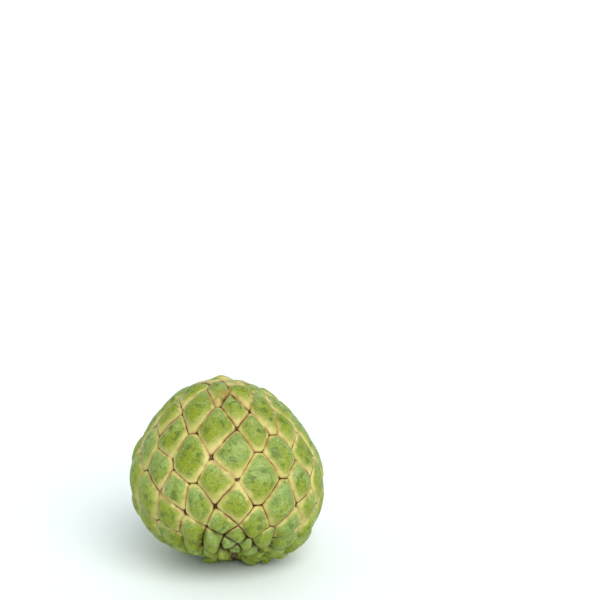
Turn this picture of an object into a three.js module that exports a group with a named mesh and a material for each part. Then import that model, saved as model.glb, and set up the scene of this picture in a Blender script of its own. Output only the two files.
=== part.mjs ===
// A whole custard apple (sugar apple), one ripe fruit lying on the small flat spot that it rests on.
// Millimetres, +Z up. The origin is on the table, under the middle of the fruit.
//
// The fruit is one closed body. A sphere of small triangles is pushed out to the body's heart shape, and each
// of its points then rises or sinks with the scale that it belongs to. The scales stand in one long spiral
// round the fruit's own axis, from the tip down to the stalk, as they grew.
import * as THREE from "three";
import { mergeVertices } from "three/addons/utils/BufferGeometryUtils.js";

// The body, before its scales.
const MEAN_RADIUS = 42.9;
const TIP_REACH = 0.02; // how far the tip end reaches past the stalk end, as shares of the mean radius
const SQUATNESS = 0.03; // how far both ends are drawn in
const HEART = 0.065; // how far the shoulders near the stalk stand out past the slopes near the tip
const SKEW = -0.06; // lopsidedness: the left side swells near the tip, the right side near the stalk
const LEAN_BACK = 29; // degrees from upright: the tip points up and away, the stalk end down and forward
const LEAN_RIGHT = -1.5;

// The dent where the stalk came away.
const DENT_DEPTH = 4.5;
const DENT_HALF_ANGLE = 13;

// The dry scar that the stalk left, a low stub in the middle of the dent.
const SCAR_RADIUS = 3.5;
const SCAR_EDGE = 1.5;
const SCAR_HEIGHT = 1.5;

// The spiral of scales. One row is half of the two families of diagonals: 13.5 scales.
const SCALES_A_TURN = 13.52;
const SCALES_A_ROW = 13.5;
const FIRST_AZIMUTH = 6.3; // of scale 0, in degrees from the front towards the right
const FIRST_LATITUDE = 4.2; // of scale 0, in degrees above the fruit's own equator
const ROW_DROP = 15.5; // degrees of latitude from one row to the next at the equator
const ROW_CLOSING = 0.5; // how quickly the rows close up towards the stalk, in degrees per row squared
const STALK_ROW = 3.5; // from this row on they also close up by STALK_CLOSING, as the knobs are small
const STALK_CLOSING = 0.65;
const SEARCHED_SCALES = 100; // numbers looked through on both sides of scale 0 for those on the fruit
const TIP_LATITUDE = 66; // the spiral ends here, and smaller scales fill the cap over the tip
const STALK_LATITUDE = -71;
const SCALE_SHORTENING = 1.1; // scales reach a little less far up and down than sideways, so corners are cut

// The cap over the tip: scales set as in a sunflower's head, each a golden angle round from the last.
const TIP_SCALES = 9;
const TIP_FIRST_NUMBER = 200;
const GOLDEN_ANGLE = 180 * (3 - Math.sqrt(5));
const TIP_RING_START = 0.2; // keeps the first scale of the cap off the very tip
const TIP_SCALE_SHARE = 1.7; // size of a cap scale, as a share of the cap's radius over the root of its count

// How far scales stray, as shares of their own width, height and area, and the step that each stray takes
// from one scale to the next with the stray of scale 0. The steps make strays that look random.
const UNEVENNESS = 0.14;
const SIZE_SPREAD = 0.3;
const STRAY_ACROSS = [0.4815, 0.0];
const STRAY_UP = [0.3011, 0.5];
const STRAY_SIZE = [0.6899, 0.8];
const STRAY_RISE = [0.7714, 0.55];

// The relief of a scale.
const FULL_SIZE = 27; // degrees across a scale whose relief is the full one
const CROWN = 1.8; // rise from a scale's border to its middle
const STEEPNESS = 2; // power of the fall from the middle to the border: 2 is a round dome
const SCALE_RISE = 1.9; // from the lowest scale to the one that stands proudest
const VALLEY_DEPTH = 1;
const VALLEY_FLOOR = 0.5; // half the width of the valley's floor
const VALLEY_HALF_WIDTH = 3.2;
const CORNER_ROUNDING = 0.14;

// Round the stalk the scales are small plump knobs.
const KNOBS_FROM_LATITUDE = -30;
const KNOBS_TO_LATITUDE = -66;
const KNOB_GAIN = 2.4; // how much taller a knob is than a scale of its size elsewhere
const KNOB_STEEPNESS = 1; // added to the scales' own
const KNOB_RISE = 2.5; // added to the scales' own

// The flat spot. The scales pressed on the table are flatter near it.
const FLAT_DEPTH = 3; // how much of the lowest scales the flat spot takes off
const FLAT_CALM_RADIUS = 20;
const FLAT_CALM_START = 0.3; // share of that radius within which the relief is weakest
const PRESSED_RELIEF = 0.15; // the relief that is left there, as a share of the full one

const SPHERE_DETAIL = 18;
const WELD_DISTANCE = 1e-5;
const LEAST_CROWD = 1e-12; // keeps the logarithm of a crowd of nobody finite

const radians = THREE.MathUtils.degToRad;
const smoothstep = THREE.MathUtils.smoothstep;
const UP = new THREE.Vector3(0, 0, 1);

// A direction in the fruit's own frame: latitude 90 is the tip, azimuth 0 the front, and 90 the right.
function direction(latitude, azimuth) {
  const flat = Math.cos(radians(latitude));
  return new THREE.Vector3(
    flat * Math.sin(radians(azimuth)),
    -flat * Math.cos(radians(azimuth)),
    Math.sin(radians(latitude)),
  );
}

// A number from -0.5 to 0.5 that looks random and depends only on the scale's number.
function stray(number, [step, start]) {
  return THREE.MathUtils.euclideanModulo(number * step + start, 1) - 0.5;
}

// A scale: its middle, the directions across and up it, and how far it is to the next scale each way.
function scaleAt(number, latitude, azimuth, width, height) {
  const middle = direction(latitude, azimuth);
  const across = new THREE.Vector3().crossVectors(UP, middle).normalize();
  const up = new THREE.Vector3().crossVectors(middle, across);
  middle.addScaledVector(across, width * UNEVENNESS * 2 * stray(number, STRAY_ACROSS));
  middle.addScaledVector(up, height * UNEVENNESS * 2 * stray(number, STRAY_UP));
  middle.normalize();
  across.crossVectors(UP, middle).normalize();
  up.crossVectors(middle, across);
  return { number, middle, across, up, width, height };
}

function spiralScales() {
  const scales = [];
  const turn = 360 / SCALES_A_TURN;
  for (let number = -SEARCHED_SCALES; number <= SEARCHED_SCALES; number++) {
    const row = number / SCALES_A_ROW;
    const past = Math.max(row - STALK_ROW, 0);
    const closing = ROW_CLOSING * row * row + STALK_CLOSING * past * past;
    const latitude = FIRST_LATITUDE - ROW_DROP * row + closing;
    if (latitude > TIP_LATITUDE || latitude < STALK_LATITUDE) continue;
    const drop = ROW_DROP - 2 * (ROW_CLOSING * row + STALK_CLOSING * past);
    const width = (radians(turn) * Math.cos(radians(latitude))) / Math.SQRT2;
    const height = radians(drop) * Math.SQRT2 * SCALE_SHORTENING;
    scales.push(scaleAt(number, latitude, FIRST_AZIMUTH - turn * number, width, height));
  }
  return scales;
}

function tipScales() {
  const spread = (90 - TIP_LATITUDE) / Math.sqrt(TIP_SCALES);
  const size = radians(spread * TIP_SCALE_SHARE);
  return Array.from({ length: TIP_SCALES }, (_, i) => {
    const latitude = 90 - spread * Math.sqrt(i + TIP_RING_START);
    return scaleAt(TIP_FIRST_NUMBER + i, latitude, GOLDEN_ANGLE * i, size, size);
  });
}

const SCALES = [...spiralScales(), ...tipScales()];
const DOWN_TO_STALK = direction(-90, 0);

// The scale that owns a point of the unit sphere, and how far the point is inside that scale's border: 0 on
// the border. Distances are counted in scales, and a large scale reaches further. Corners come out rounded.
function nearestScale(point) {
  let nearest = Infinity;
  let owner = null;
  let crowd = 0;
  const offset = new THREE.Vector3();
  for (const scale of SCALES) {
    offset.subVectors(point, scale.middle);
    const across = offset.dot(scale.across) / scale.width;
    const up = offset.dot(scale.up) / scale.height;
    const out = offset.dot(scale.middle) / scale.width;
    const squared = across * across + up * up + out * out - SIZE_SPREAD * stray(scale.number, STRAY_SIZE);
    crowd += Math.exp(-squared / CORNER_ROUNDING);
    if (squared < nearest) {
      nearest = squared;
      owner = scale;
    }
  }
  const others = Math.max(crowd * Math.exp(nearest / CORNER_ROUNDING) - 1, LEAST_CROWD);
  const inside = THREE.MathUtils.clamp(-CORNER_ROUNDING * Math.log(others), 0, 1);
  return { owner, inside };
}

function bodyRadius(point) {
  const c = point.z;
  const second = (3 * c * c - 1) / 2;
  const third = (5 * c * c * c - 3 * c) / 2;
  return MEAN_RADIUS * (1 + TIP_REACH * c - SQUATNESS * second + HEART * third + SKEW * point.x * c);
}

// How far the rind lies below the body at this point.
function relief(point, restingShare) {
  const { owner, inside } = nearestScale(point);
  const size = MEAN_RADIUS * Math.sqrt(owner.width * owner.height);
  const latitude = THREE.MathUtils.radToDeg(Math.asin(point.z));
  const stalkward = 1 - smoothstep(latitude, KNOBS_TO_LATITUDE, KNOBS_FROM_LATITUDE);
  const strength = (size / (MEAN_RADIUS * radians(FULL_SIZE))) * (1 + KNOB_GAIN * stalkward);
  const outward = (1 - inside) ** (STEEPNESS + KNOB_STEEPNESS * stalkward);
  const fromBorder = ((inside * size) / 2) * (1 + stalkward); // the valleys between knobs are half as wide
  const valley = VALLEY_DEPTH * (1 - smoothstep(fromBorder, VALLEY_FLOOR, VALLEY_HALF_WIDTH));
  const rise = (SCALE_RISE + KNOB_RISE * stalkward) * stray(owner.number, STRAY_RISE) * (1 - outward);
  const fromStalk = THREE.MathUtils.radToDeg(point.angleTo(DOWN_TO_STALK));
  const dent = DENT_DEPTH * Math.exp(-((fromStalk / DENT_HALF_ANGLE) ** 2));
  const stalkReach = MEAN_RADIUS * radians(fromStalk);
  const scar = 1 - smoothstep(stalkReach, SCAR_RADIUS, SCAR_RADIUS + SCAR_EDGE);
  const scaleRelief = ((CROWN * outward + valley) * strength - rise) * restingShare;
  return scaleRelief * (1 - scar) + dent - SCAR_HEIGHT * scar;
}

// The whole rind: every point of the sphere, pushed out, leant over and set on the table.
function rind() {
  const ball = new THREE.IcosahedronGeometry(1, SPHERE_DETAIL);
  ball.deleteAttribute("normal");
  ball.deleteAttribute("uv");
  const geometry = mergeVertices(ball, WELD_DISTANCE);
  const places = geometry.getAttribute("position");
  const lean = new THREE.Quaternion().setFromEuler(
    new THREE.Euler(-radians(LEAN_BACK), radians(LEAN_RIGHT), 0, "YXZ"),
  );
  const unlean = lean.clone().invert();
  const groundward = new THREE.Vector3(0, 0, -1).applyQuaternion(unlean);
  const point = new THREE.Vector3();
  for (let i = 0; i < places.count; i++) {
    point.fromBufferAttribute(places, i).normalize();
    const fromGround = MEAN_RADIUS * point.angleTo(groundward);
    const calm = smoothstep(fromGround, FLAT_CALM_START * FLAT_CALM_RADIUS, FLAT_CALM_RADIUS);
    const radius = bodyRadius(point) - relief(point, PRESSED_RELIEF + (1 - PRESSED_RELIEF) * calm);
    point.multiplyScalar(radius).applyQuaternion(lean);
    places.setXYZ(i, point.x, point.y, point.z);
  }
  geometry.computeBoundingBox();
  const table = geometry.boundingBox.min.z + FLAT_DEPTH;
  for (let i = 0; i < places.count; i++) places.setZ(i, Math.max(places.getZ(i) - table, 0));
  geometry.computeBoundingBox();
  const middle = geometry.boundingBox.getCenter(new THREE.Vector3());
  geometry.translate(-middle.x, -middle.y, 0);
  geometry.computeVertexNormals();
  return geometry;
}

const skin = new THREE.MeshStandardMaterial({ color: 0x95b05c, roughness: 0.55, metalness: 0 });
const fruit = new THREE.Mesh(rind(), skin);
fruit.name = "custard_apple";

const part = new THREE.Group();
part.add(fruit);

export default part;
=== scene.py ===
# %% [markdown]
# # A custard apple
#
# A custard apple, or sugar apple, is one fruit that grew from many. Each of its scales is the end of one
# seed's own little fruit, and they stand in a long spiral that winds from the tip down to the stalk.
# This lesson builds one whole fruit, with nothing on it and nothing taken off it, as it lies on a table.
#
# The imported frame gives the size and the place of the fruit. The fruit here replaces that plain body with a
# fine one, made by the same rule, so that the two agree to a fraction of a millimetre.

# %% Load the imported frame
import math

import bpy
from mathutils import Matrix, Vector


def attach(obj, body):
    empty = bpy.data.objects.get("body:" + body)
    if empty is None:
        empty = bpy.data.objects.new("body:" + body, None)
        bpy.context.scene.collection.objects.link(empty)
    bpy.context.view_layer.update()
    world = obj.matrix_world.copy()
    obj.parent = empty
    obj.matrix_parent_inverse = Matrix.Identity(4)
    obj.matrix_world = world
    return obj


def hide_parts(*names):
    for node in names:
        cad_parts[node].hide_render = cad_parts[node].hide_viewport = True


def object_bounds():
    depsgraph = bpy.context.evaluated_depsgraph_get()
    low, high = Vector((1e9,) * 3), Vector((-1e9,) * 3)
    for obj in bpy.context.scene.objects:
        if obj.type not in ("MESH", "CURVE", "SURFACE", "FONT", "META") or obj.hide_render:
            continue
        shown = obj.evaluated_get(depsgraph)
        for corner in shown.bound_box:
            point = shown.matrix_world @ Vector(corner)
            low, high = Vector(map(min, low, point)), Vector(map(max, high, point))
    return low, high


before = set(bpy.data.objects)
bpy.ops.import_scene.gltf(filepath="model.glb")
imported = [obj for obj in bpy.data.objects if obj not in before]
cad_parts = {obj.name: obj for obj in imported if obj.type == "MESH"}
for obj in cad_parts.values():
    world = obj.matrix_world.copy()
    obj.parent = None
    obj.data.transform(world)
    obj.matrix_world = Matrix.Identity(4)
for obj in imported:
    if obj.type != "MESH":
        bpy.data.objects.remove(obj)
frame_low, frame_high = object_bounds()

MM = 0.001
print("The frame's box is", [round(side / MM, 1) for side in frame_high - frame_low], "mm")

# %% [markdown]
# ## One function for every node
#
# The shape is a geometry node tree, and so are the skin's colours. Both are long sums of small nodes. One
# small function adds a node, sets its options, and fills its inputs in order with numbers or with the
# outputs of earlier nodes, so that a sum reads here as a sum. It gives back the first output that the node
# shows, or the whole node where a step needs more than one of its outputs.

# %% Add a node
MATH = "ShaderNodeMath"
VECTOR = "ShaderNodeVectorMath"
XYZ = "ShaderNodeCombineXYZ"
RANGE = "ShaderNodeMapRange"
STORE = "GeometryNodeStoreNamedAttribute"
READ = "GeometryNodeInputNamedAttribute"
NOISE = "ShaderNodeTexNoise"


def put(tree, kind, *values, whole=False, **options):
    """Adds a node of this kind. Values fill its inputs in order, and None leaves one as it is."""
    node = tree.nodes.new(kind)
    for option, value in options.items():
        setattr(node, option, value)
    shown = [socket for socket in node.inputs if socket.enabled]
    for socket, value in zip(shown, values):
        if isinstance(value, bpy.types.NodeSocket):
            tree.links.new(value, socket)
        elif value is not None:
            socket.default_value = value
    if whole:
        return node
    return next(socket for socket in node.outputs if socket.enabled)


# %% [markdown]
# ## The sizes that drive the fruit
#
# These are the fruit's own measures, in millimetres and degrees. Each becomes a named input of the tree.
# The body is a sphere bent into a heart: the shoulders near the stalk stand out, and the slopes near the tip
# are drawn in. Each scale starts 1/13.52 of a turn after the one before it and a little lower, which makes
# both families of diagonals that cross on the fruit's face. The rows close up towards the stalk, where the
# scales are small knobs. One seam near the tip has parted into a cleft.

# %% Named sizes
SIZES = {
    "Mean radius": 42.9,
    "Tip reach": 0.02,
    "Squatness": 0.03,
    "Heart": 0.065,
    "Skew": -0.06,
    "Lean back": 29.0,
    "Lean right": -1.5,
    "Dent depth": 4.5,
    "Dent half angle": 13.0,
    "Scar radius": 3.5,
    "Scar edge": 1.5,
    "Scar height": 1.5,
    "Scales a turn": 13.52,
    "First azimuth": 6.3,
    "First latitude": 4.2,
    "Row drop": 15.5,
    "Row closing": 0.5,
    "Stalk closing": 0.65,
    "Tip latitude": 66.0,
    "Scale shortening": 1.1,
    "Unevenness": 0.14,
    "Size spread": 0.3,
    "Crown": 1.8,
    "Valley depth": 1.0,
    "Valley floor": 0.5,
    "Valley half width": 3.2,
    "Knob gain": 2.4,
    "Knob steepness": 1.0,
    "Scale rise": 1.9,
    "Corner rounding": 0.14,
    "Crack depth": 0.4,
    "Crack half width": 0.3,
    "Knob crack": 1.2,
    "Knob rise": 2.5,
    "Cleft latitude": 47.0,
    "Cleft azimuth": -2.0,
    "Cleft reach": 4.5,
    "Cleft width": 4.5,
    "Flat depth": 3.0,
    "Flat calm radius": 20.0,
}
STALK_LATITUDE = -71
SEARCHED_SCALES = 100
SCALES_A_ROW = 13.5
STALK_ROW = 3.5
TIP_SCALES = 9
TIP_FIRST_NUMBER = 200
GOLDEN_ANGLE = 180 * (3 - math.sqrt(5))
print("The fruit is about", round(2 * SIZES["Mean radius"]), "mm across before it is bent")

# %% [markdown]
# ## Which scales the spiral needs
#
# The spiral stops where the tip's cap begins, and again at the dent for the stalk. The rows' latitudes are
# a short formula, so the first and the last scale's numbers can be found by counting before the tree is
# built. The tree works out the same formula for each of its points.

# %% Count the spiral's scales


def latitude_of(number):
    row = number / SCALES_A_ROW
    past = max(row - STALK_ROW, 0)
    closing = SIZES["Row closing"] * row * row + SIZES["Stalk closing"] * past * past
    return SIZES["First latitude"] - SIZES["Row drop"] * row + closing


candidates = range(-SEARCHED_SCALES, SEARCHED_SCALES + 1)
spiral = [n for n in candidates if STALK_LATITUDE <= latitude_of(n) <= SIZES["Tip latitude"]]
scale_count = len(spiral) + TIP_SCALES
print("The spiral runs from scale", spiral[0], "to", spiral[-1], "and the fruit has", scale_count, "scales")

# %% Start the tree with its named inputs
tree = bpy.data.node_groups.new("Custard apple", "GeometryNodeTree")
tree.is_modifier = True
tree.interface.new_socket("Geometry", in_out="INPUT", socket_type="NodeSocketGeometry")
tree.interface.new_socket("Geometry", in_out="OUTPUT", socket_type="NodeSocketGeometry")
for name, size in SIZES.items():
    tree.interface.new_socket(name, in_out="INPUT", socket_type="NodeSocketFloat").default_value = size
given = put(tree, "NodeGroupInput", whole=True).outputs
result = put(tree, "NodeGroupOutput", whole=True)
print("The tree has", len(SIZES), "named inputs")

# %% [markdown]
# ## Points for the scales
#
# Each scale is one point on a sphere of radius 1, turned as the fruit grew: the tip is up, and azimuth 0
# faces forward. A point also carries how far it is to the next scale across and along the fruit, and the
# scale's number. Real scales are never quite in line, so each one strays a little, by a share of its own
# size that comes from its number: the number times a step, less its whole part. The steps were chosen so
# that the large and the small scales lie as they do on this fruit.

# %% The nodes that set one family of scales
STRAY_ACROSS = (0.4815, 0.0)
STRAY_UP = (0.3011, 0.5)
STRAY_SIZE = (0.6899, 0.8)
STRAY_RISE = (0.7714, 0.55)
STRAY_TONE = (0.618, 0.0)


def stray(number, step_and_start):
    """A share from -0.5 to 0.5 that looks random and depends only on the scale's number."""
    share = put(tree, MATH, put(tree, MATH, number, *step_and_start, operation="MULTIPLY_ADD"),
                operation="FRACT")
    return put(tree, MATH, share, 0.5, operation="SUBTRACT")


def scale_points(count, number, latitude, azimuth, width, height):
    """Adds points at the middles of the scales, and keeps each one's width, height and number."""
    tilt = put(tree, MATH, latitude, operation="RADIANS")
    turn = put(tree, MATH, azimuth, operation="RADIANS")
    flat = put(tree, MATH, tilt, operation="COSINE")
    right = put(tree, MATH, flat, put(tree, MATH, turn, operation="SINE"), operation="MULTIPLY")
    front = put(tree, MATH, flat, put(tree, MATH, turn, operation="COSINE"), operation="MULTIPLY")
    back = put(tree, MATH, front, -1.0, operation="MULTIPLY")
    middle = put(tree, XYZ, right, back, put(tree, MATH, tilt, operation="SINE"))
    across, up = directions_at(middle)
    for way, length, step in ((across, width, STRAY_ACROSS), (up, height, STRAY_UP)):
        reach = put(tree, MATH, put(tree, MATH, length, given["Unevenness"], operation="MULTIPLY"), 2.0,
                    operation="MULTIPLY")
        move = put(tree, MATH, reach, stray(number, step), operation="MULTIPLY")
        middle = put(tree, VECTOR, middle, put(tree, VECTOR, way, move, operation="SCALE"), operation="ADD")
    middle = put(tree, VECTOR, middle, operation="NORMALIZE")
    points = put(tree, "GeometryNodePoints", count, middle)
    return put(tree, STORE, points, True, "size", put(tree, XYZ, width, height, number),
               data_type="FLOAT_VECTOR")


def directions_at(middle):
    """The directions across and up the fruit at a place on the sphere."""
    across = put(tree, VECTOR, put(tree, VECTOR, (0, 0, 1), middle, operation="CROSS_PRODUCT"),
                 operation="NORMALIZE")
    return across, put(tree, VECTOR, middle, across, operation="CROSS_PRODUCT")


# %% [markdown]
# ## The spiral and the cap
#
# Close to the tip, the spiral would crowd into slivers. There the real fruit has a small cap of scales, and
# it is set here as the head of a sunflower is: each scale a golden angle round from the last.

# %% The spiral down the fruit
index = put(tree, "GeometryNodeInputIndex")
turn = put(tree, MATH, 360.0, given["Scales a turn"], operation="DIVIDE")

number = put(tree, MATH, index, float(spiral[0]), operation="ADD")
row = put(tree, MATH, number, SCALES_A_ROW, operation="DIVIDE")
drop = put(tree, MATH, row, given["Row drop"], operation="MULTIPLY")
row_squared = put(tree, MATH, row, row, operation="MULTIPLY")
closing = put(tree, MATH, row_squared, given["Row closing"], given["First latitude"],
              operation="MULTIPLY_ADD")
past = put(tree, MATH, put(tree, MATH, row, STALK_ROW, operation="SUBTRACT"), 0.0, operation="MAXIMUM")
stalk_closing = put(tree, MATH, put(tree, MATH, past, past, operation="MULTIPLY"), given["Stalk closing"],
                    closing, operation="MULTIPLY_ADD")
latitude = put(tree, MATH, stalk_closing, drop, operation="SUBTRACT")
azimuth = put(tree, MATH, given["First azimuth"], put(tree, MATH, turn, number, operation="MULTIPLY"),
              operation="SUBTRACT")
circle = put(tree, MATH, put(tree, MATH, latitude, operation="RADIANS"), operation="COSINE")
step_across = put(tree, MATH, put(tree, MATH, turn, operation="RADIANS"), circle, operation="MULTIPLY")
width = put(tree, MATH, step_across, math.sqrt(2), operation="DIVIDE")
slowing = put(tree, MATH, row, put(tree, MATH, given["Row closing"], -2.0, operation="MULTIPLY"),
              given["Row drop"], operation="MULTIPLY_ADD")
late = put(tree, MATH, past, put(tree, MATH, given["Stalk closing"], -2.0, operation="MULTIPLY"), slowing,
           operation="MULTIPLY_ADD")
step_up = put(tree, MATH, put(tree, MATH, late, operation="RADIANS"), math.sqrt(2), operation="MULTIPLY")
height = put(tree, MATH, step_up, given["Scale shortening"], operation="MULTIPLY")
spiral_points = scale_points(len(spiral), number, latitude, azimuth, width, height)

# %% The cap over the tip
TIP_RING_START = 0.2
TIP_SCALE_SHARE = 1.7

cap = put(tree, MATH, 90.0, given["Tip latitude"], operation="SUBTRACT")
spread = put(tree, MATH, cap, math.sqrt(TIP_SCALES), operation="DIVIDE")
ring = put(tree, MATH, put(tree, MATH, index, TIP_RING_START, operation="ADD"), operation="SQRT")
cap_latitude = put(tree, MATH, 90.0, put(tree, MATH, spread, ring, operation="MULTIPLY"),
                   operation="SUBTRACT")
cap_azimuth = put(tree, MATH, index, GOLDEN_ANGLE, operation="MULTIPLY")
cap_size = put(tree, MATH, put(tree, MATH, spread, operation="RADIANS"), TIP_SCALE_SHARE,
               operation="MULTIPLY")
cap_number = put(tree, MATH, index, float(TIP_FIRST_NUMBER), operation="ADD")
cap_points = scale_points(TIP_SCALES, cap_number, cap_latitude, cap_azimuth, cap_size, cap_size)

joining = put(tree, "GeometryNodeJoinGeometry", whole=True)
for family in (cap_points, spiral_points):
    tree.links.new(family, joining.inputs[0])
scales = joining.outputs[0]
print("The tip's cap has", TIP_SCALES, "scales")

# %% [markdown]
# ## The skin before its relief
#
# A ball of even faces keeps the skin's detail even. A sphere with poles would pinch at the tip and at the
# stalk, so this one is a cube of fine squares, blown up round. The tangent evens out the squares' sizes.

# %% A ball made from a fine cube
POINTS_ALONG_CUBE = 128
QUARTER_TURN = math.pi / 4

cube = put(tree, "GeometryNodeMeshCube", (2, 2, 2), *[POINTS_ALONG_CUBE] * 3)
corner = put(tree, "GeometryNodeInputPosition")
split = put(tree, "ShaderNodeSeparateXYZ", corner, whole=True)
bent = [put(tree, MATH, put(tree, MATH, side, QUARTER_TURN, operation="MULTIPLY"), operation="TANGENT")
        for side in split.outputs]
on_ball = put(tree, VECTOR, put(tree, XYZ, *bent), operation="NORMALIZE")
ball = put(tree, "GeometryNodeSetPosition", cube, True, on_ball)
print("The ball has", POINTS_ALONG_CUBE, "points along each edge of its cube")

# %% [markdown]
# ## Which scale owns a point
#
# Each scale is a rhombus, so the distance to it is counted in scale widths across and in scale heights up.
# A repeat zone visits the scales one after another. Every point of the skin keeps the nearest scale's size
# and number and its own place in that scale. It also keeps a crowd: a sum that grows where several scales
# are about equally near, and from which the distance to the border follows, with rounded corners.

# %% Borders that waver
WAVER_LENGTH = 7.0
WAVER = 0.7


def wavering(place):
    """A place on the ball, moved a little, so that no border is a straight line."""
    scale = put(tree, MATH, given["Mean radius"], WAVER_LENGTH, operation="DIVIDE")
    noise = put(tree, NOISE, place, scale, 2.0, whole=True).outputs["Color"]
    even = put(tree, VECTOR, noise, (0.5, 0.5, 0.5), operation="SUBTRACT")
    reach = put(tree, MATH, 2 * WAVER, given["Mean radius"], operation="DIVIDE")
    moved = put(tree, VECTOR, place, put(tree, VECTOR, even, reach, operation="SCALE"), operation="ADD")
    return put(tree, VECTOR, moved, operation="NORMALIZE")


# %% The repeat zone
FAR = 1e6


def measure_scales(skin):
    """Gives each point of the skin its nearest scale, its place in it, and its distance from the border."""
    for name, kind, start in (("nearest", "FLOAT", FAR), ("second", "FLOAT", FAR), ("crowd", "FLOAT", 0.0),
                              ("pull", "FLOAT_VECTOR", (0, 0, 0)), ("owner", "FLOAT_VECTOR", (0, 0, 0)),
                              ("middle", "FLOAT_VECTOR", (0, 0, 0)), ("spot", "FLOAT_VECTOR", (0, 0, 0))):
        skin = put(tree, STORE, skin, True, name, start, data_type=kind)
    skin = put(tree, STORE, skin, True, "here", wavering(put(tree, "GeometryNodeInputPosition")),
               data_type="FLOAT_VECTOR")
    first = put(tree, "GeometryNodeRepeatInput", whole=True)
    last = put(tree, "GeometryNodeRepeatOutput", whole=True)
    first.pair_with_output(last)
    first.inputs["Iterations"].default_value = scale_count
    tree.links.new(skin, first.inputs["Geometry"])
    turn_by = first.outputs["Iteration"]
    here = put(tree, READ, "here", data_type="FLOAT_VECTOR")
    middle = put(tree, "GeometryNodeSampleIndex", scales, put(tree, "GeometryNodeInputPosition"), turn_by,
                 data_type="FLOAT_VECTOR")
    size_kept = put(tree, READ, "size", data_type="FLOAT_VECTOR")
    size = put(tree, "GeometryNodeSampleIndex", scales, size_kept, turn_by, data_type="FLOAT_VECTOR")
    sides = put(tree, "ShaderNodeSeparateXYZ", size, whole=True).outputs
    across, up = directions_at(middle)
    offset = put(tree, VECTOR, here, middle, operation="SUBTRACT")
    spot = put(tree, XYZ, *[
        put(tree, MATH, put(tree, VECTOR, offset, way, operation="DOT_PRODUCT", whole=True).outputs["Value"],
            length, operation="DIVIDE")
        for way, length in ((across, sides[0]), (up, sides[1]), (middle, sides[0]))])
    plain = put(tree, VECTOR, spot, spot, operation="DOT_PRODUCT", whole=True).outputs["Value"]
    gain = put(tree, MATH, stray(sides[2], STRAY_SIZE), given["Size spread"], operation="MULTIPLY")
    squared = put(tree, MATH, plain, gain, operation="SUBTRACT")
    share = put(tree, MATH, squared, given["Corner rounding"], operation="DIVIDE")
    weight = put(tree, MATH, put(tree, MATH, share, -1.0, operation="MULTIPLY"), operation="EXPONENT")
    nearest = put(tree, READ, "nearest", data_type="FLOAT")
    closer = put(tree, "FunctionNodeCompare", squared, nearest, operation="LESS_THAN")
    runner_up = put(tree, MATH, put(tree, READ, "second", data_type="FLOAT"),
                    put(tree, MATH, nearest, squared, operation="MAXIMUM"), operation="MINIMUM")
    crowd = put(tree, MATH, put(tree, READ, "crowd", data_type="FLOAT"), weight, operation="ADD")
    pulled = put(tree, VECTOR, middle, weight, operation="SCALE")
    pull = put(tree, VECTOR, put(tree, READ, "pull", data_type="FLOAT_VECTOR"), pulled, operation="ADD")
    skin = first.outputs["Geometry"]
    for name, kind, chosen, value in (("owner", "FLOAT_VECTOR", closer, size),
                                      ("middle", "FLOAT_VECTOR", closer, middle),
                                      ("spot", "FLOAT_VECTOR", closer, spot),
                                      ("crowd", "FLOAT", True, crowd), ("pull", "FLOAT_VECTOR", True, pull),
                                      ("second", "FLOAT", True, runner_up),
                                      ("nearest", "FLOAT", closer, squared)):
        skin = put(tree, STORE, skin, chosen, name, value, data_type=kind)
    tree.links.new(skin, last.inputs["Geometry"])
    return last.outputs["Geometry"]


# %% [markdown]
# ## How far inside the border
#
# The crowd, less the point's own scale, says how strongly the neighbours are felt. Its logarithm is a
# distance from the border that is smooth everywhere, and 0 on the border itself.

# %% The distance from the border
LEAST_CROWD = 1e-9


def border_fields():
    """Adds nodes for how deep inside its scale a point is, the scale's size, and the border's distance."""
    nearest = put(tree, READ, "nearest", data_type="FLOAT")
    crowd = put(tree, READ, "crowd", data_type="FLOAT")
    share = put(tree, MATH, nearest, given["Corner rounding"], operation="DIVIDE")
    growth = put(tree, MATH, share, operation="EXPONENT")
    others = put(tree, MATH, put(tree, MATH, crowd, growth, operation="MULTIPLY"), 1.0, operation="SUBTRACT")
    counted = put(tree, MATH, others, LEAST_CROWD, operation="MAXIMUM")
    felt = put(tree, MATH, counted, math.e, operation="LOGARITHM")
    smooth = put(tree, MATH, felt, given["Corner rounding"], operation="MULTIPLY")
    inside = put(tree, RANGE, put(tree, MATH, smooth, -1.0, operation="MULTIPLY"), 0.0, 1.0, 0.0, 1.0)
    sides = put(tree, "ShaderNodeSeparateXYZ", put(tree, READ, "owner", data_type="FLOAT_VECTOR"), whole=True)
    area = put(tree, MATH, sides.outputs["X"], sides.outputs["Y"], operation="MULTIPLY")
    size = put(tree, MATH, put(tree, MATH, area, operation="SQRT"), given["Mean radius"],
               operation="MULTIPLY")
    half_size = put(tree, MATH, size, 0.5, operation="MULTIPLY")
    gap = put(tree, MATH, put(tree, READ, "second", data_type="FLOAT"), nearest, operation="SUBTRACT")
    edge = put(tree, MATH, gap, half_size, operation="MULTIPLY")
    soft_edge = put(tree, MATH, inside, half_size, operation="MULTIPLY")
    return inside, size, edge, soft_edge, others


# %% [markdown]
# ## Points where they are needed
#
# Most cracks between scales are less than a millimetre wide, and the pads between them are smooth. So the
# skin's points are drawn towards the borders before the relief is made. A point that lies within a valley
# moves across the skin, towards its scale's neighbours, and the points nearest the border move closest.

# %% Draw the points towards the borders
DRAWN_WITHIN = 3.2
DRAW_POWER = 1.8

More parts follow.
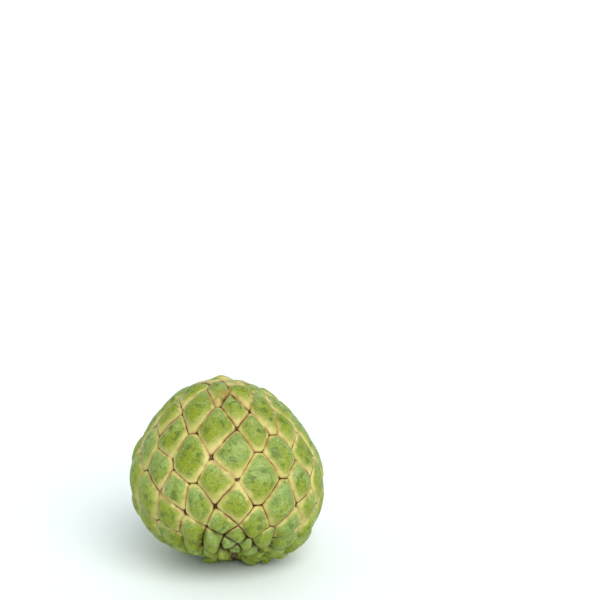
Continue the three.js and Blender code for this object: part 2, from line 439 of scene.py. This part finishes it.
measured = measure_scales(ball)
_, _, edge, _, _ = border_fields()
near_share = put(tree, RANGE, edge, 0.0, DRAWN_WITHIN, 0.0, 1.0)
drawn = put(tree, MATH, near_share, DRAW_POWER, operation="POWER")
move = put(tree, MATH, put(tree, MATH, near_share, drawn, operation="SUBTRACT"), DRAWN_WITHIN,
           operation="MULTIPLY")
arc = put(tree, MATH, move, given["Mean radius"], operation="DIVIDE")
nearest = put(tree, READ, "nearest", data_type="FLOAT")
own_share = put(tree, MATH, put(tree, MATH, nearest, given["Corner rounding"], operation="DIVIDE"), -1.0,
                operation="MULTIPLY")
own_weight = put(tree, MATH, own_share, operation="EXPONENT")
own_middle = put(tree, READ, "middle", data_type="FLOAT_VECTOR")
own_pull = put(tree, VECTOR, own_middle, own_weight, operation="SCALE")
other_pull = put(tree, VECTOR, put(tree, READ, "pull", data_type="FLOAT_VECTOR"), own_pull,
                 operation="SUBTRACT")
other_crowd = put(tree, MATH, put(tree, MATH, put(tree, READ, "crowd", data_type="FLOAT"), own_weight,
                                  operation="SUBTRACT"), LEAST_CROWD, operation="MAXIMUM")
others_at = put(tree, VECTOR, other_pull, put(tree, MATH, 1.0, other_crowd, operation="DIVIDE"),
                operation="SCALE")
towards = put(tree, VECTOR, others_at, own_middle, operation="SUBTRACT")
here = put(tree, "GeometryNodeInputPosition")
outward_part = put(tree, VECTOR, towards, here, operation="DOT_PRODUCT", whole=True).outputs["Value"]
flat_way = put(tree, VECTOR, towards, put(tree, VECTOR, here, outward_part, operation="SCALE"),
               operation="SUBTRACT")
way = put(tree, VECTOR, flat_way, operation="NORMALIZE")
moved = put(tree, VECTOR, put(tree, VECTOR, way, arc, operation="SCALE"), here, operation="ADD")
crowded = put(tree, "GeometryNodeSetPosition", measured, True,
              put(tree, VECTOR, moved, operation="NORMALIZE"))
measured = measure_scales(crowded)
print("Points within", DRAWN_WITHIN, "mm of a border are drawn towards it")

# %% [markdown]
# ## The heart of the body
#
# The body's radius is the mean radius and four smooth terms: one lets the tip reach further than the stalk
# end, one draws both ends in, one swells the shoulders near the stalk and pinches the slopes near the tip,
# and one makes the fruit lopsided. The stalk came away from a bell-shaped hollow round the lower pole, and
# left a low dry stub there. Formulas do this, as the body has to agree with the frame's.

# %% The body's radius
place = put(tree, "GeometryNodeInputPosition")
along = put(tree, "ShaderNodeSeparateXYZ", place, whole=True).outputs["Z"]
sideways = put(tree, "ShaderNodeSeparateXYZ", place, whole=True).outputs["X"]
cubed = put(tree, MATH, along, 3.0, operation="POWER")
third = put(tree, MATH, put(tree, MATH, cubed, 2.5, operation="MULTIPLY"),
            put(tree, MATH, along, 1.5, operation="MULTIPLY"), operation="SUBTRACT")
second = put(tree, MATH, put(tree, MATH, along, along, operation="MULTIPLY"), -1.5, 0.5,
             operation="MULTIPLY_ADD")
squat = put(tree, MATH, second, given["Squatness"], 1.0, operation="MULTIPLY_ADD")
skewed = put(tree, MATH, put(tree, MATH, sideways, along, operation="MULTIPLY"), given["Skew"], squat,
             operation="MULTIPLY_ADD")
bend = put(tree, MATH, third, given["Heart"], skewed, operation="MULTIPLY_ADD")
stretch = put(tree, MATH, along, given["Tip reach"], bend, operation="MULTIPLY_ADD")
body = put(tree, MATH, stretch, given["Mean radius"], operation="MULTIPLY")

# %% The dent and the stalk's scar
from_stalk = put(tree, MATH, put(tree, MATH, put(tree, MATH, along, -1.0, operation="MULTIPLY"),
                                 operation="ARCCOSINE"), operation="DEGREES")
dent_share = put(tree, MATH, from_stalk, given["Dent half angle"], operation="DIVIDE")
dent_square = put(tree, MATH, dent_share, dent_share, operation="MULTIPLY")
bell = put(tree, MATH, put(tree, MATH, dent_square, -1.0, operation="MULTIPLY"), operation="EXPONENT")
dent = put(tree, MATH, bell, given["Dent depth"], operation="MULTIPLY")
stalk_reach = put(tree, MATH, put(tree, MATH, from_stalk, operation="RADIANS"), given["Mean radius"],
                  operation="MULTIPLY")
scar_end = put(tree, MATH, given["Scar radius"], given["Scar edge"], operation="ADD")
scar = put(tree, RANGE, stalk_reach, given["Scar radius"], scar_end, 1.0, 0.0,
           interpolation_type="SMOOTHSTEP")

# %% [markdown]
# ## The relief of the scales
#
# A scale is a pad, gently crowned, that drops to a pale valley, and some pads stand higher than others.
# Round the stalk the scales are small and tall, like knobs.

# %% The pads and valleys
FULL_SIZE = math.radians(27)
STEEPNESS = 2.0
KNOBS_FROM_LATITUDE = -30.0
KNOBS_TO_LATITUDE = -66.0

inside, size, edge, soft_edge, others = border_fields()
share = put(tree, MATH, size, put(tree, MATH, given["Mean radius"], FULL_SIZE, operation="MULTIPLY"),
            operation="DIVIDE")
height_angle = put(tree, MATH, put(tree, MATH, along, operation="ARCSINE"), operation="DEGREES")
stalkward = put(tree, RANGE, height_angle, KNOBS_FROM_LATITUDE, KNOBS_TO_LATITUDE, 0.0, 1.0,
                interpolation_type="SMOOTHSTEP")
knobby = put(tree, MATH, stalkward, given["Knob gain"], 1.0, operation="MULTIPLY_ADD")
strength = put(tree, MATH, share, knobby, operation="MULTIPLY")
outside = put(tree, MATH, 1.0, inside, operation="SUBTRACT")
steepness = put(tree, MATH, stalkward, given["Knob steepness"], STEEPNESS, operation="MULTIPLY_ADD")
outward = put(tree, MATH, outside, steepness, operation="POWER")
fall = put(tree, MATH, outward, given["Crown"], operation="MULTIPLY")
knob_edge = put(tree, MATH, soft_edge, put(tree, MATH, stalkward, 1.0, operation="ADD"), operation="MULTIPLY")
valley = put(tree, RANGE, knob_edge, given["Valley floor"], given["Valley half width"], 1.0, 0.0,
             interpolation_type="SMOOTHSTEP")
drop_in = put(tree, MATH, valley, given["Valley depth"], fall, operation="MULTIPLY_ADD")
owner_number = put(tree, "ShaderNodeSeparateXYZ", put(tree, READ, "owner", data_type="FLOAT_VECTOR"),
                   whole=True).outputs["Z"]
most_rise = put(tree, MATH, stalkward, given["Knob rise"], given["Scale rise"], operation="MULTIPLY_ADD")
rise = put(tree, MATH, stray(owner_number, STRAY_RISE), most_rise, operation="MULTIPLY")
on_top = put(tree, MATH, 1.0, outward, operation="SUBTRACT")
raised = put(tree, MATH, rise, on_top, operation="MULTIPLY")
pressed = put(tree, MATH, drop_in, strength, operation="MULTIPLY")
lowering = put(tree, MATH, pressed, raised, operation="SUBTRACT")

# %% [markdown]
# ## Cracks and the cleft
#
# As a custard apple ripens its seams dry and part. Most valleys have a thin crack along the bottom, which
# opens and closes along its way. It is wider round the knobs, and widest near the tip, where one seam gapes.

# %% Where the cracks are open
CRACK_PATCH = 16.0
CRACK_SHUT = 0.36
CRACK_OPEN = 0.52
LEAST_OPENNESS = 0.1
KNOB_OPENNESS = 0.12

crack_noise = put(tree, NOISE, place, put(tree, MATH, given["Mean radius"], CRACK_PATCH, operation="DIVIDE"),
                  1.0)
split_here = put(tree, MATH, stalkward, KNOB_OPENNESS, crack_noise, operation="MULTIPLY_ADD")
openness = put(tree, RANGE, split_here, CRACK_SHUT, CRACK_OPEN, LEAST_OPENNESS, 1.0,
               interpolation_type="SMOOTHSTEP")

# %% The cleft, and the cracks' width and depth
cleft_tilt = put(tree, MATH, given["Cleft latitude"], operation="RADIANS")
cleft_turn = put(tree, MATH, given["Cleft azimuth"], operation="RADIANS")
cleft_flat = put(tree, MATH, cleft_tilt, operation="COSINE")
cleft_right = put(tree, MATH, cleft_flat, put(tree, MATH, cleft_turn, operation="SINE"), operation="MULTIPLY")
cleft_front = put(tree, MATH, cleft_flat, put(tree, MATH, cleft_turn, operation="COSINE"),
                  operation="MULTIPLY")
cleft_at = put(tree, XYZ, cleft_right, put(tree, MATH, cleft_front, -1.0, operation="MULTIPLY"),
               put(tree, MATH, cleft_tilt, operation="SINE"))
apart = put(tree, VECTOR, place, cleft_at, operation="DISTANCE", whole=True).outputs["Value"]
cleft_share = put(tree, MATH, put(tree, MATH, apart, given["Mean radius"], operation="MULTIPLY"),
                  given["Cleft reach"], operation="DIVIDE")
cleft_square = put(tree, MATH, cleft_share, cleft_share, operation="MULTIPLY")
cleft = put(tree, MATH, put(tree, MATH, cleft_square, -1.0, operation="MULTIPLY"), operation="EXPONENT")
parted = put(tree, MATH, cleft, given["Cleft width"], 1.0, operation="MULTIPLY_ADD")
wider = put(tree, MATH, stalkward, given["Knob crack"], parted, operation="MULTIPLY_ADD")
crack_width = put(tree, MATH, wider, given["Crack half width"], operation="MULTIPLY")
crack_share = put(tree, MATH, edge, crack_width, operation="DIVIDE")
crack_square = put(tree, MATH, crack_share, crack_share, operation="MULTIPLY")
crack_bell = put(tree, MATH, put(tree, MATH, crack_square, -1.0, operation="MULTIPLY"), operation="EXPONENT")
crack_depth = put(tree, MATH, wider, given["Crack depth"], operation="MULTIPLY")
crack = put(tree, MATH, crack_bell, crack_depth, operation="MULTIPLY")
opened = put(tree, MATH, crack, openness, operation="MULTIPLY")
relief = put(tree, MATH, lowering, opened, operation="ADD")
print("A plain crack is", 2 * SIZES["Crack half width"], "mm wide and", SIZES["Crack depth"], "mm deep")

# %% [markdown]
# ## Leathery unevenness and pits
#
# The skin of each pad is uneven, with soft lumps some millimetres long and smaller ones among them. Where the
# corners of scales meet there is often a small dark pit, and the crowd tells where that is: at a corner more
# than one neighbour is as near as the point's own scale.

# %% Lumps and pits
LUMPS = ((6.0, 0.9), (1.7, 0.2))
PIT_DEPTH = 1.4
PIT_PATCH = 9.0
PITS_FROM = 0.36
PITS_TO = 0.5
CORNER_FROM = 1.18
CORNER_TO = 1.6

roughened = 0.0
for length, depth in LUMPS:
    noise = put(tree, NOISE, place, put(tree, MATH, given["Mean radius"], length, operation="DIVIDE"), 2.0)
    centred = put(tree, MATH, noise, 0.5, operation="SUBTRACT")
    roughened = put(tree, MATH, centred, depth, roughened, operation="MULTIPLY_ADD")
corner = put(tree, RANGE, others, CORNER_FROM, CORNER_TO, 0.0, 1.0, interpolation_type="SMOOTHSTEP")
pit_noise = put(tree, NOISE, place, put(tree, MATH, given["Mean radius"], PIT_PATCH, operation="DIVIDE"), 1.0)
pitted = put(tree, RANGE, pit_noise, PITS_FROM, PITS_TO, 0.0, 1.0, interpolation_type="SMOOTHSTEP")
pit_share = put(tree, MATH, corner, pitted, operation="MULTIPLY")
pit = put(tree, MATH, pit_share, PIT_DEPTH, operation="MULTIPLY")

# %% [markdown]
# ## Lean it over and set it down
#
# The fruit is leant over so that the stalk end faces down and forward, pushed out to its skin, and set on the
# table. What would sink below the table is pressed flat, which is the small flat spot that it rests on. Near
# that spot the scales are flatter, and in the scar the skin has none.

# %% Lean it over
leaning = put(tree, XYZ, put(tree, MATH, put(tree, MATH, given["Lean back"], operation="RADIANS"), -1.0,
                             operation="MULTIPLY"),
              put(tree, MATH, given["Lean right"], operation="RADIANS"), 0.0)
leant = put(tree, "ShaderNodeVectorRotate", place, (0, 0, 0), leaning, rotation_type="EULER_XYZ")
downward = put(tree, MATH, put(tree, "ShaderNodeSeparateXYZ", leant, whole=True).outputs["Z"], -1.0,
               operation="MULTIPLY")
from_ground = put(tree, MATH, put(tree, MATH, downward, operation="ARCCOSINE"), given["Mean radius"],
                  operation="MULTIPLY")

# %% Push it out to its skin
PRESSED_RELIEF = 0.15
FLAT_CALM_START = 0.3

calm_from = put(tree, MATH, given["Flat calm radius"], FLAT_CALM_START, operation="MULTIPLY")
calm = put(tree, RANGE, from_ground, calm_from, given["Flat calm radius"], PRESSED_RELIEF, 1.0,
           interpolation_type="SMOOTHSTEP")
rough_down = put(tree, MATH, roughened, pit, operation="ADD")
deep = put(tree, MATH, put(tree, MATH, relief, calm, operation="MULTIPLY"), rough_down, operation="ADD")
round_scar = put(tree, MATH, deep, put(tree, MATH, 1.0, scar, operation="SUBTRACT"), dent,
                 operation="MULTIPLY_ADD")
stub = put(tree, MATH, scar, given["Scar height"], operation="MULTIPLY")
sunk = put(tree, MATH, round_scar, stub, operation="SUBTRACT")
radius = put(tree, MATH, body, sunk, operation="SUBTRACT")
pushed = put(tree, VECTOR, leant, radius, operation="SCALE")

# %% Keep what the material needs
tone = put(tree, MATH, stray(owner_number, STRAY_TONE), 0.5, operation="ADD")
skin = measured
for name, field in (("edge", edge), ("soft_edge", soft_edge), ("pit", pit_share), ("tone", tone),
                    ("stalkward", stalkward), ("openness", openness), ("wider", wider), ("scar", scar)):
    skin = put(tree, STORE, skin, True, name, field, data_type="FLOAT")

# %% Set it on the table
skin = put(tree, "GeometryNodeSetPosition", skin, True, pushed)
box = put(tree, "GeometryNodeBoundBox", skin, whole=True).outputs
lowest = put(tree, "ShaderNodeSeparateXYZ", box["Min"], whole=True).outputs["Z"]
table = put(tree, MATH, lowest, given["Flat depth"], operation="ADD")
centre = put(tree, VECTOR, put(tree, VECTOR, box["Min"], box["Max"], operation="ADD"), 0.5,
             operation="SCALE")
centres = put(tree, "ShaderNodeSeparateXYZ", centre, whole=True).outputs
origin = put(tree, XYZ, centres["X"], centres["Y"], table)
lowered = put(tree, VECTOR, put(tree, "GeometryNodeInputPosition"), origin, operation="SUBTRACT")
parts = put(tree, "ShaderNodeSeparateXYZ", lowered, whole=True).outputs
on_table = put(tree, XYZ, parts["X"], parts["Y"], put(tree, MATH, parts["Z"], 0.0, operation="MAXIMUM"))
in_metres = put(tree, VECTOR, on_table, MM, operation="SCALE")
skin = put(tree, "GeometryNodeSetPosition", skin, True, in_metres)

# %% Close the tree with its material
WELD_DISTANCE = 0.001 * MM

rind = bpy.data.materials.new("custard apple rind")
skin = put(tree, "GeometryNodeMergeByDistance", skin, True, WELD_DISTANCE)
skin = put(tree, "GeometryNodeSetShadeSmooth", skin, True, True)
skin = put(tree, "GeometryNodeRealizeInstances", skin)
skin = put(tree, "GeometryNodeSetMaterial", skin, True, rind)
tree.links.new(skin, result.inputs["Geometry"])
print("The tree has", len(tree.nodes), "nodes")

# %% [markdown]
# ## From the tree to a plain mesh
#
# The modifier's inputs are set by their sockets' identifiers before the tree first runs. The result is then
# copied out as a plain mesh, and the modifier is thrown away: a piece that rides on the frame is a plain
# mesh, with its place in its points.

# %% Run the tree once
seed_mesh = bpy.data.meshes.new("seed")
grower = bpy.data.objects.new("grower", seed_mesh)
bpy.context.scene.collection.objects.link(grower)
modifier = grower.modifiers.new("Custard apple", "NODES")
modifier.node_group = tree
for item in tree.interface.items_tree:
    if item.in_out == "INPUT" and item.name in SIZES:
        modifier[item.identifier] = SIZES[item.name]
bpy.context.view_layer.update()
evaluation = bpy.context.evaluated_depsgraph_get()
fruit_mesh = bpy.data.meshes.new_from_object(grower.evaluated_get(evaluation),
                                             preserve_all_data_layers=True, depsgraph=evaluation)
bpy.data.objects.remove(grower)
fruit = bpy.data.objects.new("custard_apple_fruit", fruit_mesh)
bpy.context.scene.collection.objects.link(fruit)
fruit_mesh.name = "custard_apple_fruit"
print("The fruit has", len(fruit_mesh.vertices), "points and", len(fruit_mesh.polygons), "faces")

# %% Ride on the frame
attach(fruit, "root")
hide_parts("custard_apple")


# %% [markdown]
# ## Colours
#
# Colours are written as a picker shows them, and one function turns them into the linear values that the
# shader needs. Most are the rind's own colours: green pads with a grey bloom of wax, olive where they are
# ripest, pale cream skin that has stretched in the seams, and brown where it has dried. The dark olive in
# the gaps between the knobs is partly their own brown and partly painted shade.

# %% Colours as hex values


def linear(hex_colour):
    """An sRGB hex colour as linear red, green, blue and alpha."""
    shares = [int(hex_colour[i:i + 2], 16) / 255 for i in (1, 3, 5)]
    return (*[c / 12.92 if c <= 0.04045 else ((c + 0.055) / 1.055) ** 2.4 for c in shares], 1.0)


PAD_WARM = linear("#7f8c12")
PAD_COOL = linear("#7c9349")
OLIVE = linear("#7f8a00")
BLOOM = linear("#96a858")
MOTTLE = linear("#48620c")
SPECKLE = linear("#506316")
RIM = linear("#a6a64e")
CREAM = linear("#c6b86e")
TAN = linear("#9c7440")
# Dark olive for the gaps between the knobs: partly the skin's own brown, partly painted shade for the shadow
# in them.
GAP_BROWN_AND_SHADE = linear("#474418")
CRACK = linear("#5b3812")
PIT = linear("#4c2b12")
WOOD = linear("#33200f")
WOOD_PALE = linear("#6e5030")

# %% [markdown]
# ## Where the skin changes
#
# The material is the rind of a ripe custard apple: soft leathery plant skin with a thin coat of wax, which
# gives a broad, weak shine. It reads what the tree kept at each point, such as the distance from the border
# in millimetres, the place in the scale, and how far the scale is towards the stalk. Most masks are a smooth
# change of one value, from a start to an end, and from the first strength to the second. The last three
# are products of two values. The patches are as coarse as the real marks are, in millimetres.

# %% What the tree kept
MIX = "ShaderNodeMix"
KEPT = "ShaderNodeAttribute"

rind.use_nodes = True
skin_tree = rind.node_tree
skin_tree.nodes.clear()
where = put(skin_tree, "ShaderNodeTexCoord", whole=True).outputs["Object"]
kept = {name: put(skin_tree, KEPT, attribute_name=name, whole=True).outputs["Fac"]
        for name in ("edge", "soft_edge", "pit", "tone", "stalkward", "openness", "wider", "scar")}
spot = put(skin_tree, KEPT, attribute_name="spot", whole=True).outputs["Vector"]

# %% Where a pad is cool, and where its low middle is
HEIGHT_PATCH = 6.0
HEIGHT_WAVER = 1.4
WARM_BY_TONE = -0.5
LOW_MIDDLE = (0.0, -0.12, 0.0)

up_scale = put(skin_tree, "ShaderNodeSeparateXYZ", spot, whole=True).outputs["Y"]
height_noise = put(skin_tree, NOISE, where, 1 / (HEIGHT_PATCH * MM), 2.0)
uneven_height = put(skin_tree, MATH, height_noise, HEIGHT_WAVER, up_scale, operation="MULTIPLY_ADD")
cool = put(skin_tree, MATH, kept["tone"], WARM_BY_TONE, uneven_height, operation="MULTIPLY_ADD")
from_middle = put(skin_tree, VECTOR, spot, LOW_MIDDLE, operation="DISTANCE", whole=True).outputs["Value"]

# %% [markdown]
# ## How wide the pale seams are
#
# The cream of a seam has no sharp edge. It is widest under a scale and narrow over it, and narrower still
# between the knobs, so the distance from the border is stretched there and roughened with noise.

# %% The ragged distance from a seam
RAGGED_PATCH = 3.5
RAGGED = 3.6
KNOB_NARROWING = 5.0
LOW_END = -0.55
HIGH_END = 0.35
WIDE_BELOW = 0.7
NARROW_ABOVE = 2.0

narrow_up = put(skin_tree, RANGE, up_scale, LOW_END, HIGH_END, WIDE_BELOW, NARROW_ABOVE,
                interpolation_type="SMOOTHSTEP")
narrow_knobs = put(skin_tree, MATH, kept["stalkward"], KNOB_NARROWING, 1.0, operation="MULTIPLY_ADD")
ragged_noise = put(skin_tree, NOISE, where, 1 / (RAGGED_PATCH * MM), 4.0)
ragged = put(skin_tree, MATH, put(skin_tree, MATH, ragged_noise, 0.5, operation="SUBTRACT"), RAGGED,
             kept["soft_edge"], operation="MULTIPLY_ADD")
seam = put(skin_tree, MATH, put(skin_tree, MATH, ragged, narrow_up, operation="MULTIPLY"), narrow_knobs,
           operation="MULTIPLY")
line = put(skin_tree, MATH, kept["edge"], kept["wider"], operation="DIVIDE")
by_line = put(skin_tree, MATH, line, narrow_knobs, operation="MULTIPLY")

# %% Masks
masks = {"everywhere": 1.0, "scar": kept["scar"]}
for name, value, start, end, least, most in (
        ("upper scale", cool, 0.15, 0.85, 0.0, 1.0),
        ("bloom", cool, 0.2, 0.8, 0.1, 1.0),
        ("low middle", from_middle, 0.6, 0.2, 0.0, 1.0),
        ("middle", from_middle, 0.55, 0.3, 0.0, 1.0),
        ("ripe scales", kept["tone"], 0.2, 0.6, 0.45, 1.0),
        ("seam rim", seam, 3.6, 1.0, 0.0, 0.75),
        ("seam", seam, 2.0, 0.4, 0.0, 1.0),
        ("by the crack", by_line, 1.3, 0.2, 0.0, 1.0),
        ("gap", line, 0.45, 0.12, 0.0, 1.0),
        ("crack", line, 0.32, 0.1, 0.0, 1.0),
        ("knobs", kept["stalkward"], 0.1, 0.6, 0.0, 1.0),
        ("pit", kept["pit"], 0.2, 0.65, 0.0, 1.0)):
    masks[name] = put(skin_tree, RANGE, value, start, end, least, most, interpolation_type="SMOOTHSTEP")
# The gaps between the knobs near the stalk are darkened in colour, partly for their brown skin and partly as
# painted shade.
for name, one, other in (("olive", "low middle", "ripe scales"), ("knob gap brown and shade", "gap", "knobs")):
    masks[name] = put(skin_tree, MATH, masks[one], masks[other], operation="MULTIPLY")
masks["open crack"] = put(skin_tree, MATH, masks["crack"], kept["openness"], operation="MULTIPLY")
print("The masks are", ", ".join(masks))

# %% [markdown]
# ## Layers of colour
#
# The colours lie over one another in this order. Each layer has its patches' length in millimetres and their
# detail, the noise values between which the patches fade in, its least and greatest strength, and its mask.
# A layer whose two strengths are the same is even.

# %% Lay the colours
LAYERS = (
    (PAD_COOL, 6.0, 2.0, 0.3, 0.5, 1.0, 1.0, "upper scale"),
    (OLIVE, 8.0, 4.0, 0.34, 0.5, 0.0, 1.0, "olive"),
    (BLOOM, 5.0, 4.0, 0.44, 0.6, 0.0, 0.8, "bloom"),
    (MOTTLE, 4.0, 4.0, 0.52, 0.64, 0.0, 0.8, "middle"),
    (SPECKLE, 1.0, 4.0, 0.44, 0.66, 0.0, 0.5, "everywhere"),
    (BLOOM, 0.8, 2.0, 0.5, 0.7, 0.0, 0.4, "everywhere"),
    (RIM, 12.0, 2.0, 0.35, 0.6, 0.7, 1.0, "seam rim"),
    (CREAM, 14.0, 2.0, 0.36, 0.6, 0.55, 1.0, "seam"),
    (TAN, 3.5, 3.0, 0.35, 0.6, 0.0, 0.65, "by the crack"),
    # Painted shade, with some real brown: the narrow gaps between the knobs near the stalk are darkened in
    # colour.
    (GAP_BROWN_AND_SHADE, 5.0, 2.0, 0.3, 0.6, 0.7, 1.0, "knob gap brown and shade"),
    (CRACK, 6.0, 2.0, 0.38, 0.58, 0.3, 1.0, "open crack"),
    (PIT, 2.0, 2.0, 0.3, 0.6, 0.7, 1.0, "pit"),
    (WOOD, 2.0, 2.0, 0.3, 0.5, 1.0, 1.0, "scar"),
    (WOOD_PALE, 0.8, 4.0, 0.4, 0.6, 0.0, 1.0, "scar"),
)
colour = PAD_WARM
for over, length, detail, start, end, least, most, mask in LAYERS:
    noise = put(skin_tree, NOISE, where, 1 / (length * MM), detail)
    patch = put(skin_tree, RANGE, noise, start, end, least, most, interpolation_type="SMOOTHSTEP")
    share = put(skin_tree, MATH, patch, masks[mask], operation="MULTIPLY")
    colour = put(skin_tree, MIX, share, colour, over, data_type="RGBA")
print("The rind has", len(LAYERS), "layers of colour over its own")

# %% [markdown]
# ## Wax and grain
#
# Plant wax has a refractive index of 1.43, and on this leathery skin it is neither dull nor glossy. The
# skin's own grain is too fine to show, so it is drawn 0.6 mm long, as bumps in the light and not in the
# shape.

# %% Gloss and grain
WAX_IOR = 1.43
GRAIN = 0.6
GRAIN_DEPTH = 0.15
GRAIN_STRENGTH = 0.35
GLOSS_PATCH = 3.0
SMOOTHEST = 0.45
ROUGHEST = 0.62

fine_noise = put(skin_tree, NOISE, where, 1 / (GRAIN * MM), 3.0)
grain = put(skin_tree, "ShaderNodeBump", GRAIN_STRENGTH, GRAIN_DEPTH * MM, None, fine_noise, whole=True)
gloss_noise = put(skin_tree, NOISE, where, 1 / (GLOSS_PATCH * MM), 2.0)
waxy = put(skin_tree, RANGE, gloss_noise, 0.35, 0.65, SMOOTHEST, ROUGHEST, interpolation_type="SMOOTHSTEP")
shader = put(skin_tree, "ShaderNodeBsdfPrincipled", colour, 0.0, waxy, WAX_IOR, whole=True)
skin_tree.links.new(grain.outputs["Normal"], shader.inputs["Normal"])
put(skin_tree, "ShaderNodeOutputMaterial", shader.outputs["BSDF"], whole=True)
print("The rind's material has", len(skin_tree.nodes), "nodes")

# %% [markdown]
# ## The studio
#
# A plain pale floor that curves up all round, far off, so that the horizon is a soft band and not a line.
# The room glows softly, and a broad sun stands high at the front right.

# %% Floor
FLOOR_RADIUS = 3.0
RIM_RADIUS = 1.2
FLOOR_STEPS = 64
RIM_STEPS = 16
FLOOR_ROUGHNESS = 0.6

profile = [(0.001, 0.0)]
for step in range(RIM_STEPS + 1):
    turned = math.pi / 2 * step / RIM_STEPS
    profile.append((FLOOR_RADIUS + RIM_RADIUS * math.sin(turned), RIM_RADIUS * (1 - math.cos(turned))))
floor_points = []
floor_faces = []
for step in range(FLOOR_STEPS):
    turned = 2 * math.pi * step / FLOOR_STEPS
    floor_points += [(out * math.cos(turned), out * math.sin(turned), high) for out, high in profile]
    here = step * len(profile)
    there = (step + 1) % FLOOR_STEPS * len(profile)
    floor_faces += [(here + k, here + k + 1, there + k + 1, there + k) for k in range(len(profile) - 1)]
floor_faces.append([step * len(profile) for step in range(FLOOR_STEPS)])
floor_mesh = bpy.data.meshes.new("floor")
floor_mesh.from_pydata(floor_points, [], floor_faces)
floor_mesh.shade_smooth()
floor = bpy.data.objects.new("floor", floor_mesh)
bpy.context.scene.collection.objects.link(floor)
paint = bpy.data.materials.new("pale floor")
paint.use_nodes = True
paint.node_tree.nodes["Principled BSDF"].inputs["Base Color"].default_value = linear("#eef4f2")
paint.node_tree.nodes["Principled BSDF"].inputs["Roughness"].default_value = FLOOR_ROUGHNESS
floor_mesh.materials.append(paint)
print("The floor has", len(floor_faces), "faces and is", 2 * FLOOR_RADIUS, "m across before it curves up")

# %% Lights
ROOM_GLOW = 0.7
SUN_STRENGTH = 2.6
SUN_WIDTH = math.radians(50)
SUN_PLACE = (0.5, -1.0, 1.1)

world = bpy.data.worlds.new("pale room")
bpy.context.scene.world = world
world.use_nodes = True
world.node_tree.nodes["Background"].inputs["Color"].default_value = linear("#f4faff")
world.node_tree.nodes["Background"].inputs["Strength"].default_value = ROOM_GLOW
bpy.context.scene.view_settings.view_transform = "Standard"

sun_data = bpy.data.lights.new("broad sun", "SUN")
sun_data.angle = SUN_WIDTH
sun_data.energy = SUN_STRENGTH
sun = bpy.data.objects.new("broad sun", sun_data)
bpy.context.scene.collection.objects.link(sun)
fruit_centre = (frame_low + frame_high) / 2
sun.location = SUN_PLACE
sun.rotation_euler = (fruit_centre - sun.location).to_track_quat("-Z", "Y").to_euler()
print("The sun is", round(math.degrees(sun_data.angle)), "degrees wide, for soft shadows")

# %% [markdown]
# ## The camera
#
# The camera looks down on the fruit by 20 degrees from the front. The fruit stands low and a little left in
# the picture. The camera is turned to put it there, because a shifted lens would shift every other view too.

# %% Camera
CAMERA_ELEVATION = math.radians(20)
PLACE_IN_PICTURE = Vector((-0.12, -0.2857))
PICTURE_WIDTH_AT_FRUIT = 0.2682  # in metres
LENS = 70
SENSOR = 36

camera_data = bpy.data.cameras.new("camera")
camera_data.lens = LENS
camera_data.sensor_width = SENSOR
camera = bpy.data.objects.new("camera", camera_data)
bpy.context.scene.collection.objects.link(camera)
bpy.context.scene.camera = camera
side, rise = PLACE_IN_PICTURE * SENSOR / LENS
stretch_out = math.sqrt(1 + side * side + rise * rise)
depth = PICTURE_WIDTH_AT_FRUIT * LENS / SENSOR
pitch = math.asin(stretch_out * math.sin(CAMERA_ELEVATION) / math.hypot(1, rise)) + math.atan(rise)
yaw = math.atan2(-side, math.cos(pitch) + rise * math.sin(pitch))
away = Vector((0, -math.cos(CAMERA_ELEVATION), math.sin(CAMERA_ELEVATION)))
camera.location = fruit_centre + away * depth * stretch_out
camera.rotation_euler = (math.pi / 2 - pitch, 0, -yaw)
print("The camera is", round((camera.location - fruit_centre).length, 3), "m from the fruit's middle")
